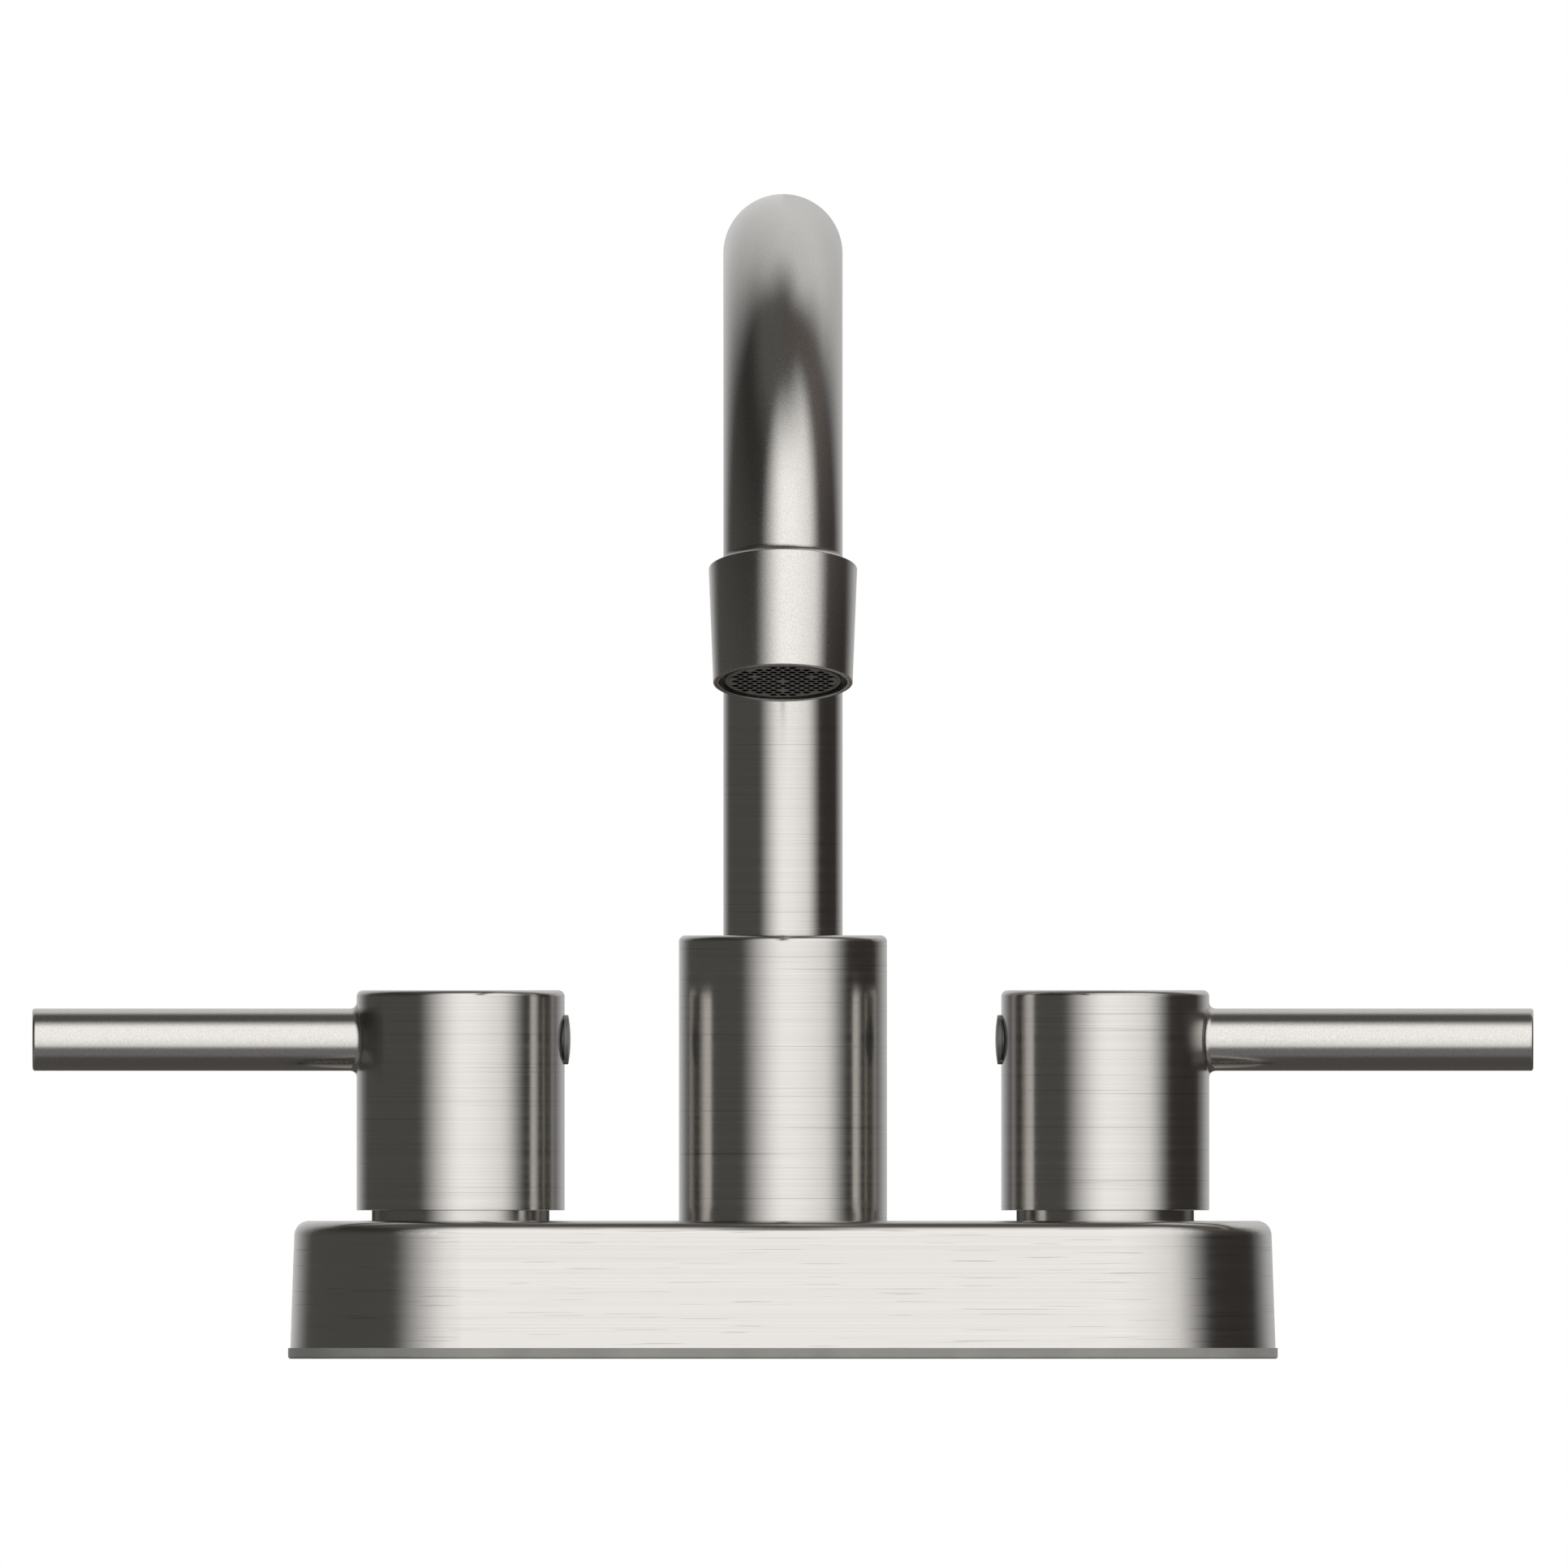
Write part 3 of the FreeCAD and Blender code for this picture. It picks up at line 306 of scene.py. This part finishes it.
# For each of the record's material slots: how it is made, its material, colour, roughness and the rest.
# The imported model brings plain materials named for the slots, so these have names of their own.
FINISHES = {
    # Raw turned brass: warm yellow, dulled by handling.
    "brass": (machined, "turned_brass", "C9A562", 0.32, {"tarnish": 0.25}),
    # Drawn copper tube: pinkish, with a thin brown oxide.
    "copper": (machined, "drawn_copper", "C4835C", 0.28, {"tarnish": 0.3}),
    # Stamped or turned stainless steel: neutral and fairly bright.
    "stainless": (machined, "stainless_steel", "B9B9B7", 0.25, {}),
    # Lapped alumina: ivory white, silky where the discs rub.
    "ceramic": (machined, "lapped_alumina", "E6E3DA", 0.22, {"tarnish": 0.05, "metallic": 0.0}),
    # Nitrile rubber: near black with a dull grease shine.
    "seal_rubber": (moulded, "nitrile_rubber", "1C1C1C", 0.5, {}),
    # Acetal: milky white and waxy.
    "glide_plastic": (moulded, "white_acetal", "E4E2DB", 0.38, {}),
    # Polypropylene: mid grey, satin, lightly sparked by its mould.
    "gasket": (moulded, "grey_polypropylene", "9A9A95", 0.42, {}),
    # Glass-filled nylon button: dark grey and satin.
    "plug_grey": (moulded, "glass_filled_nylon", "6E6E6C", 0.35, {}),
    # Acetal insert: mid grey, satin, with the greyness of hard water.
    "aerator_plastic": (moulded, "grey_acetal", "5C5A57", 0.4, {"tone": 0.2}),
}


def skin_of(slot):
    """The finish of one of the material slots, made when it is first asked for."""
    make, name, hex_colour, roughness, rest = FINISHES[slot]
    return bpy.data.materials.get(name) or make(name, hex_colour, roughness, **rest)


def finish_node(name, material):
    """Gives a solid that is kept its finish."""
    mesh = frame["nodes"][name].data
    mesh.materials.clear()
    mesh.materials.append(material)


def outline(bm, corners):
    """A closed wire in the XZ plane through corners (radius, height) or (radius, height, rounding)."""
    points = [bm.verts.new((corner[0], 0, corner[1])) for corner in corners]
    bm.faces.new(points)
    for point, corner in zip(points, corners):
        if len(corner) > 2:
            bmesh.ops.bevel(bm, geom=[point], offset=corner[2], offset_type="OFFSET", segments=6,
                            profile=0.5, affect="VERTICES", material=-1)
    bmesh.ops.delete(bm, geom=bm.faces[:], context="FACES_ONLY")
    on_axis = [e for e in bm.edges if max(v.co.x for v in e.verts) < 1e-9]
    bmesh.ops.delete(bm, geom=on_axis, context="EDGES")


def turned(corners, steps=128):
    """A bmesh of the outline spun once round Z."""
    bm = bmesh.new()
    outline(bm, corners)
    bmesh.ops.spin(bm, geom=bm.verts[:] + bm.edges[:], cent=(0, 0, 0), axis=(0, 0, 1), angle=math.tau,
                   steps=steps, use_merge=True)
    return bm


def new_piece(name, bm, material, body, slot, *stands_for):
    """Closes and faces a bmesh outwards, makes it an object, sets it on its body and hides the solids it
    stands for.
    """
    bmesh.ops.remove_doubles(bm, verts=bm.verts[:], dist=1e-6)
    bmesh.ops.dissolve_degenerate(bm, dist=1e-7, edges=bm.edges[:])
    bmesh.ops.recalc_face_normals(bm, faces=bm.faces[:])
    for face in bm.faces:
        face.smooth = True
    for edge in bm.edges:
        edge.smooth = edge.calc_face_angle(0.0) < math.radians(32)
    mesh = bpy.data.meshes.new(name)
    bm.to_mesh(mesh)
    bm.free()
    mesh.materials.append(material)
    made = bpy.data.objects.new(name, mesh)
    bpy.context.scene.collection.objects.link(made)
    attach(made, body)
    if stands_for:
        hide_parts(*stands_for)
    return made


def bend_height(sizes):
    """Height of the middle of the spout's bend."""
    return TUBE_BOX[1].z - sizes.tube_diameter / 2 - sizes.bend_radius


def outlet_way(sizes):
    """The direction in which the water leaves."""
    return Vector((0, -math.sin(sizes.outlet_tilt), -math.cos(sizes.outlet_tilt)))


def outlet_place(sizes):
    """Where a piece built about Z, with the outlet's face at 0 and the spout above it, goes."""
    tilt = sizes.outlet_tilt
    bend_end = Vector((0, -sizes.bend_radius * (1 + math.cos(tilt)),
                       bend_height(sizes) + sizes.bend_radius * math.sin(tilt)))
    face = bend_end + outlet_way(sizes) * (sizes.stub + sizes.collar_length)
    return Matrix.Translation(face) @ Matrix.Rotation(-tilt, 4, "X")


class FAUCET_OT_base(bpy.types.Operator):
    """Finishes the base: the cover, the gasket under it and the trim rings on it"""
    bl_idname = "faucet.base"
    bl_label = "Base"

    def execute(self, context):
        cover = brushed_nickel("brushed_nickel_base", middle=VALVE_X, straight=True, mark_length=12 * MM)
        finish_node("base_cover", cover)
        finish_node("base_gasket", skin_of("gasket"))
        ring = brushed_nickel("brushed_nickel_ring", middle=VALVE_X, rim=0.1)
        for side in ("hot", "cold"):
            finish_node(side + "_trim_ring", ring)
        return {"FINISHED"}


class FAUCET_OT_handles(bpy.types.Operator):
    """Finishes the lever handles and makes the buttons that hide their grub screws"""
    bl_idname = "faucet.handles"
    bl_label = "Handles"

    def execute(self, context):
        radius = context.scene.faucet_sizes.button_diameter / 2
        wall = HANDLE_RADIUS
        shank_end = wall - 3.2 * MM
        shank = radius - 0.6 * MM
        seat = wall - 0.1 * MM
        edge = wall + 0.58 * MM
        dome = [(radius * share, edge + rise * MM)
                for share, rise in ((0.8, 0.12), (0.55, 0.25), (0.25, 0.32), (0, 0.34))]
        lever_starts = VALVE_X + wall
        # The handle's colour carries painted shade: round the button's bore it is darkened nearly to black.
        handle = brushed_nickel("brushed_nickel_handle", middle=VALVE_X,
                                smooth_side=("X", lever_starts + 0.5 * MM, lever_starts + 1.6 * MM),
                                painted_bore_shade=(LEVER_HEIGHT, radius + 0.06 * MM))
        for side, sign in (("hot", -1), ("cold", 1)):
            finish_node(side + "_handle", handle)
            finish_node(side + "_handle_set_screw", skin_of("stainless"))
            button = turned([(0, shank_end), (shank, shank_end), (shank, seat), (radius, seat, 0.1 * MM),
                             (radius, edge, 0.12 * MM), *dome], steps=64)
            place = Matrix.Translation((sign * VALVE_X, 0, LEVER_HEIGHT))
            bmesh.ops.transform(button, verts=button.verts[:],
                                matrix=place @ Matrix.Rotation(-sign * math.pi / 2, 4, "Y"))
            new_piece(side + "_button", button, skin_of("plug_grey"), side + "_lever", "plug_grey",
                      side + "_handle_plug")
        return {"FINISHED"}


class FAUCET_OT_hub(bpy.types.Operator):
    """Finishes the hub that the spout turns in, and the screw at its back"""
    bl_idname = "faucet.hub"
    bl_label = "Hub"

    def execute(self, context):
        finish_node("spout_hub", brushed_nickel("brushed_nickel_hub"))
        finish_node("spout_retaining_screw", skin_of("stainless"))
        return {"FINISHED"}


class FAUCET_OT_spout(bpy.types.Operator):
    """Makes the spout's bent tube"""
    bl_idname = "faucet.spout"
    bl_label = "Spout"

    def execute(self, context):
        sizes = context.scene.faucet_sizes
        bottom = TUBE_BOX[0].z
        middle = bend_height(sizes)
        stub_way = outlet_way(sizes) * (sizes.stub + TUBE_INSERTION)
        bm = bmesh.new()
        ends = []
        for radius in (sizes.tube_diameter / 2, sizes.tube_diameter / 2 - sizes.tube_wall):
            ring = bmesh.ops.create_circle(bm, segments=96, radius=radius,
                                           matrix=Matrix.Translation((0, 0, bottom)))["verts"]
            first = list({e for v in ring for e in v.link_edges})
            riser = bmesh.ops.extrude_edge_only(bm, edges=first)["geom"]
            top = [v for v in riser if isinstance(v, bmesh.types.BMVert)]
            bmesh.ops.translate(bm, verts=top, vec=(0, 0, middle - bottom))
            rim = [e for e in riser if isinstance(e, bmesh.types.BMEdge)]
            bend = bmesh.ops.spin(bm, geom=top + rim, cent=(0, -sizes.bend_radius, middle), axis=(1, 0, 0),
                                  angle=math.pi - sizes.outlet_tilt, steps=110)["geom_last"]
            rim = [e for e in bend if isinstance(e, bmesh.types.BMEdge)]
            stub = bmesh.ops.extrude_edge_only(bm, edges=rim)["geom"]
            end = [v for v in stub if isinstance(v, bmesh.types.BMVert)]
            bmesh.ops.translate(bm, verts=end, vec=stub_way)
            ends.append((first, [e for e in stub if isinstance(e, bmesh.types.BMEdge)]))
        for outer, inner in zip(*ends):
            bmesh.ops.bridge_loops(bm, edges=outer + inner)
        tube = brushed_nickel("brushed_nickel_spout", smooth_side=("Z", 96 * MM, 112 * MM))
        new_piece("spout", bm, tube, "spout", "brushed_nickel", "spout_tube")
        return {"FINISHED"}


class FAUCET_OT_outlet(bpy.types.Operator):
    """Makes the outlet's collar and the aerator in it"""
    bl_idname = "faucet.outlet"
    bl_label = "Outlet"

    def execute(self, context):
        sizes = context.scene.faucet_sizes
        place = outlet_place(sizes)
        shell = sizes.aerator_diameter / 2
        cage = shell - 0.5 * MM
        face = 0.2 * MM
        self.collar(sizes, place, shell)
        self.ring(place, shell, cage, face)
        self.cells(sizes, place, cage, face)
        return {"FINISHED"}

    @staticmethod
    def collar(sizes, place, shell):
        """The collar, coved into the tube at its top, with a gap round the aerator's shell at its mouth."""
        tube = sizes.tube_diameter / 2
        top = sizes.collar_length
        cove = 1.6 * MM
        bore = tube - 1 * MM
        shelf = 10.4 * MM
        mouth = shell + 1.0 * MM
        gap_depth = 1.8 * MM
        bm = turned([
            (mouth, 0, 0.05 * MM), (sizes.collar_mouth / 2, 0, 0.06 * MM),
            (sizes.collar_top / 2, top, 0.12 * MM), (tube + 0.07 * MM, top, cove),
            (tube + FIT, top + cove + FIT), (tube + FIT, top - TUBE_INSERTION),
            (bore, top - TUBE_INSERTION), (bore, shelf), (shell + FIT, shelf), (shell + FIT, gap_depth),
            (mouth, gap_depth)])
        bmesh.ops.transform(bm, verts=bm.verts[:], matrix=place)
        nickel = brushed_nickel("brushed_nickel_collar", smooth_side=("Z", 0.0, 1 * MM))
        new_piece("collar", bm, nickel, "spout", "brushed_nickel", "outlet_collar")

    @staticmethod
    def ring(place, shell, cage, face):
        """The aerator's shell, a thin ring round its cells."""
        depth = 9.0 * MM
        bm = turned([(cage, face, 0.05 * MM), (shell, face, 0.15 * MM), (shell, depth), (cage, depth)],
                    steps=96)
        bmesh.ops.transform(bm, verts=bm.verts[:], matrix=place)
        new_piece("aerator_ring", bm, skin_of("aerator_plastic"), "spout", "aerator_plastic", "aerator_shell")

    @staticmethod
    def cells(sizes, place, cage, face):
        """The aerator's honeycomb: hexagons tiled in rows, each cut open but for those on the solid pads."""
        pitch = sizes.cell_pitch
        row_step = pitch * math.sqrt(3) / 2
        corner = (pitch - sizes.cell_web) / math.sqrt(3)
        rim = cage - 0.02 * MM
        pad_circle = 5.2 * MM
        turns = [math.radians(degrees) for degrees in (90, 210, 330)]
        pads = [(0.0, 0.0)] + [(pad_circle * math.cos(turn), pad_circle * math.sin(turn)) for turn in turns]
        bm = bmesh.new()
        open_cells = []
        reach = int(cage / row_step) + 2
        for row in range(-reach, reach + 1):
            for column in range(-reach, reach + 1):
                x = pitch * (column + (row % 2) / 2)
                y = row_step * row
                distance = math.hypot(x, y)
                if distance > cage + 0.3 * pitch:
                    continue
                cell = bmesh.ops.create_circle(bm, cap_ends=True, segments=6, radius=pitch / math.sqrt(3),
                                               matrix=Matrix.Translation((x, y, face)))
                filled = any(math.hypot(x - a, y - b) < 0.55 * pitch for a, b in pads)
                if distance + corner < cage - 0.05 * MM and not filled:
                    open_cells.append(cell["verts"][0].link_faces[0])
        bmesh.ops.inset_individual(bm, faces=open_cells, thickness=sizes.cell_web / 2, use_even_offset=True)
        bmesh.ops.delete(bm, geom=open_cells, context="FACES")
        for vert in bm.verts:
            # The outermost hexagons are drawn in to the shell.
            distance = math.hypot(vert.co.x, vert.co.y)
            if distance > rim:
                vert.co.xy *= rim / distance
        bmesh.ops.remove_doubles(bm, verts=bm.verts[:], dist=1e-6)
        bmesh.ops.recalc_face_normals(bm, faces=bm.faces[:])
        bmesh.ops.solidify(bm, geom=bm.faces[:], thickness=2.3 * MM)
        bmesh.ops.translate(bm, verts=bm.verts[:], vec=(0, 0, face - min(v.co.z for v in bm.verts)))
        bmesh.ops.transform(bm, verts=bm.verts[:], matrix=place)
        # Grey acetal: behind their face, the webs' walls have painted shade, their colour and shine darkened
        # nearly to black.
        inward = place.to_3x3() @ Vector((0, 0, 1))
        webs = moulded("grey_acetal_webs", "625F5B", 0.4, tone=0.2,
                       painted_cell_shade=(place @ Vector((0, 0, face)), inward))
        new_piece("aerator_cells", bm, webs, "spout", "aerator_plastic", "aerator_lattice")


class FAUCET_OT_works(bpy.types.Operator):
    """Finishes the valves, the water ways and the spout's bearing, all inside"""
    bl_idname = "faucet.works"
    bl_label = "Works"

    def execute(self, context):
        # The regulator behind the aerator's cells is coloured near black and dull, painted shade of the deep
        # cells.
        dark = moulded("regulator_painted_shade", "161616", 0.5)
        for row in frame["record"]["subparts"]:
            name, slot = row["node"], row["material_slot"]
            if slot in ("brushed_nickel", "gasket", "plug_grey"):
                continue
            finish_node(name, dark if name == "aerator_regulator" else skin_of(slot))
        return {"FINISHED"}


class FAUCET_OT_studio(bpy.types.Operator):
    """Makes the white studio: the window in front, the backdrop, the floor and the camera"""
    bl_idname = "faucet.studio"
    bl_label = "Studio"

    def execute(self, context):
        scene = context.scene
        studio = scene.faucet_studio
        self.light(scene, studio)
        self.floor(scene, studio)
        self.camera(scene, studio)
        scene.view_settings.view_transform = "Standard"
        return {"FINISHED"}

    @staticmethod
    def panel(tree, strength, *edges):
        """A soft lit panel. Each edge is a direction's angle, and the angles where it is dark and full."""
        level = strength
        for angle, dark, full in edges:
            edge = node(tree, "MapRange", {"Value": angle, "From Min": dark, "From Max": full},
                        interpolation_type="SMOOTHSTEP")
            level = node(tree, "Math", {0: edge, 1: level}, operation="MULTIPLY")
        return level

    def light(self, scene, studio):
        """All light comes from the world, by direction. side is degrees from the camera's side, to the
        right, and height is degrees above the horizon. Metal mirrors it, so where its panels end, the
        object's bright and dark bands do.
        """
        world = bpy.data.worlds.new("studio")
        scene.world = world
        world.use_nodes = True
        tree = world.node_tree
        tree.nodes.clear()
        way = node(tree, "SeparateXYZ", {0: node(tree, "TexCoord").outputs["Generated"]}).outputs
        ahead = node(tree, "Math", {0: way[1], 1: -1.0}, operation="MULTIPLY")
        side = node(tree, "Math", {0: way[0], 1: ahead}, operation="ARCTAN2")
        side = node(tree, "Math", {0: side}, operation="DEGREES")
        height = node(tree, "Math", {0: way[2]}, operation="ARCSINE")
        height = node(tree, "Math", {0: height}, operation="DEGREES")
        turned_away = node(tree, "Math", {0: side}, operation="ABSOLUTE")

        # The window's right edge lies a little further round above the horizon than at it, and a pale
        # table top lights the object faintly from in front and below.
        above = node(tree, "MapRange", {"Value": height, "From Min": 4, "From Max": 34})
        window_right = node(tree, "Math", {0: above, 1: -12.0, 2: side}, operation="MULTIPLY_ADD")
        window = self.panel(tree, studio.window, (side, -55, 2), (window_right, 83, 45),
                            (window_right, 160, 0), (height, 80, 42), (height, -42, -18), (height, -90, 12))
        table = self.panel(tree, 0.25, (turned_away, 120, 80), (height, -86, -54), (height, -16, -30))

        # The dark room is a little lighter to the left at eye height, and to the right above it.
        across = {"Value": side, "From Min": -60, "From Max": 60}
        level = node(tree, "MapRange", {**across, "To Min": 0.111, "To Max": 0.053})
        risen = node(tree, "MapRange", {**across, "To Min": 0.05, "To Max": 0.165})
        room = node(tree, "Mix", {0: above, 2: level, 3: risen}, data_type="FLOAT")
        for dark, full, strength in ((44, 62, 0.135), (-14, -34, 0.12)):
            share = node(tree, "MapRange", {"Value": height, "From Min": dark, "From Max": full})
            room = node(tree, "Mix", {0: share, 2: room, 3: strength}, data_type="FLOAT")

        # The backdrop fades towards the horizon, and its edges come round further above it.
        shift = node(tree, "Math", {0: above, 1: 8.0}, operation="MULTIPLY")
        behind_left = node(tree, "Math", {0: shift, 1: side}, operation="SUBTRACT")
        behind_right = node(tree, "Math", {0: above, 1: 14.0, 2: side}, operation="MULTIPLY_ADD")
        backdrop = 0.0
        for edges, least in ((((behind_left, 110, 158), (behind_left, 68, 198)), 0.88),
                             (((behind_right, 114, 156),), 0.66)):
            half = self.panel(tree, studio.backdrop, *edges, (height, 86, 54), (height, -20, -4))
            fade = node(tree, "Math", {0: above, 1: 1 - least, 2: least}, operation="MULTIPLY_ADD")
            half = node(tree, "Math", {0: half, 1: fade}, operation="MULTIPLY")
            backdrop = node(tree, "Math", {0: backdrop, 1: half}, operation="MAXIMUM")

        # The camera sees white all round, and metal sees the backdrop; neither lights the object more.
        rays = node(tree, "LightPath").outputs
        mirrored = node(tree, "Math", {0: rays["Is Glossy Ray"], 1: rays["Is Transmission Ray"]},
                        operation="MAXIMUM")
        backdrop = node(tree, "Math", {0: backdrop, 1: mirrored}, operation="MULTIPLY")
        tint = node(tree, "Mix", {0: node(tree, "MapRange", across), 6: linear("FFFFF8"),
                                  7: linear("FFF1EA")}, data_type="RGBA").outputs[2]
        colour = node(tree, "VectorMath", {0: tint, "Scale": room}, operation="SCALE")
        for lit in (window, table, backdrop, rays["Is Camera Ray"]):
            colour = node(tree, "VectorMath", {0: colour, 1: lit}, operation="MAXIMUM")
        light = node(tree, "Background", {"Color": colour, "Strength": 1.0})
        node(tree, "OutputWorld", {"Surface": light})

    @staticmethod
    def floor(scene, studio):
        """A white floor that metal doesn't mirror."""
        bm = bmesh.new()
        bmesh.ops.create_grid(bm, x_segments=1, y_segments=1, size=studio.floor_size / 2)
        mesh = bpy.data.meshes.new("floor")
        bm.to_mesh(mesh)
        bm.free()
        material, tree = new_material("white_sweep")
        lit = node(tree, "BsdfDiffuse", {"Color": linear("E8E8E6")})
        rays = node(tree, "LightPath").outputs
        glow = node(tree, "Math", {0: rays["Is Camera Ray"], 1: 0.6}, operation="MULTIPLY")
        white = node(tree, "Emission", {"Strength": glow})
        node(tree, "OutputMaterial", {"Surface": node(tree, "AddShader", {0: lit, 1: white})})
        mesh.materials.append(material)
        made = bpy.data.objects.new("floor", mesh)
        made.visible_glossy = False
        scene.collection.objects.link(made)

    @staticmethod
    def camera(scene, studio):
        """A camera straight in front, with parallel sight lines."""
        data = bpy.data.cameras.new("camera")
        data.type = "ORTHO"
        data.ortho_scale = studio.frame_width
        data.clip_end = 10
        made = bpy.data.objects.new("camera", data)
        made.location = (0.17 * MM, -1.0, 90.6 * MM)
        made.rotation_euler = (math.pi / 2, 0, 0)
        scene.collection.objects.link(made)
        scene.camera = made


OPERATORS = (FAUCET_OT_works, FAUCET_OT_base, FAUCET_OT_handles, FAUCET_OT_hub, FAUCET_OT_spout,
             FAUCET_OT_outlet, FAUCET_OT_studio)


class FAUCET_PT_panel(bpy.types.Panel):
    """The faucet's sizes, finishes and studio, and the buttons that build each"""
    bl_label = "Centerset Faucet"
    bl_idname = "FAUCET_PT_panel"
    bl_space_type = "VIEW_3D"
    bl_region_type = "UI"
    bl_category = "Faucet"

    def draw(self, context):
        for group in (context.scene.faucet_sizes, context.scene.faucet_finishes, context.scene.faucet_studio):
            box = self.layout.box()
            for name in group.__annotations__:
                box.prop(group, name)
        for operator in OPERATORS:
            self.layout.operator(operator.bl_idname)


CLASSES = (FaucetSizes, FaucetFinishes, FaucetStudio, *OPERATORS, FAUCET_PT_panel)


def register():
    for cls in CLASSES:
        bpy.utils.register_class(cls)
    bpy.types.Scene.faucet_sizes = PointerProperty(type=FaucetSizes)
    bpy.types.Scene.faucet_finishes = PointerProperty(type=FaucetFinishes)
    bpy.types.Scene.faucet_studio = PointerProperty(type=FaucetStudio)


def unregister():
    del bpy.types.Scene.faucet_studio
    del bpy.types.Scene.faucet_finishes
    del bpy.types.Scene.faucet_sizes
    for cls in reversed(CLASSES):
        bpy.utils.unregister_class(cls)


def main():
    register()
    for operator in OPERATORS:
        getattr(bpy.ops.faucet, operator.bl_idname.split(".")[1])()


if __name__ == "__main__":
    main()
